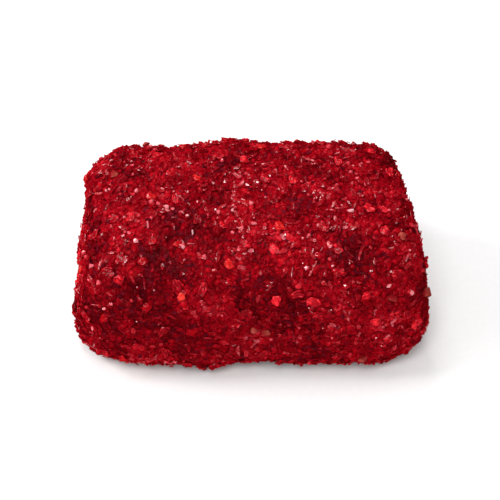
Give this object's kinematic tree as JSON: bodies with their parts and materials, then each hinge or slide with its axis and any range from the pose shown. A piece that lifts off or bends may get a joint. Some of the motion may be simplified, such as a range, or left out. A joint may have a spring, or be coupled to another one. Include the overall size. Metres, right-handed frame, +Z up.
{
  "type": "turkish delight",
  "caption": "Roll of soft Turkish delight, a rounded loaf with a flat foot, coated all over in fine red petal crumbs with orange chips, pale slivers and nut crumbs.",
  "frame": {"origin": "under the middle of the roll, on the flat foot that it rests on", "axes": "+X along the roll to its right end, +Y from its front to its back, +Z up out of its crown"},
  "size_m": [0.0828, 0.0511, 0.0411],
  "materials": {
    "petal_coat": "crumbly coat of dried red petals, matt with small glossy points",
    "dark_petal": "dark purple-red dried petal, matt",
    "orange_chip": "dried fruit peel, satin",
    "pale_sliver": "dried pale stalk, satin",
    "nut_crumb": "chopped nut stained by the coat, matt",
    "sugar_glaze": "wet glossy grains of syrup and sugar"
  },
  "bodies": {
    "root": {"coated_roll": "petal_coat"}
  },
  "joints": []
}
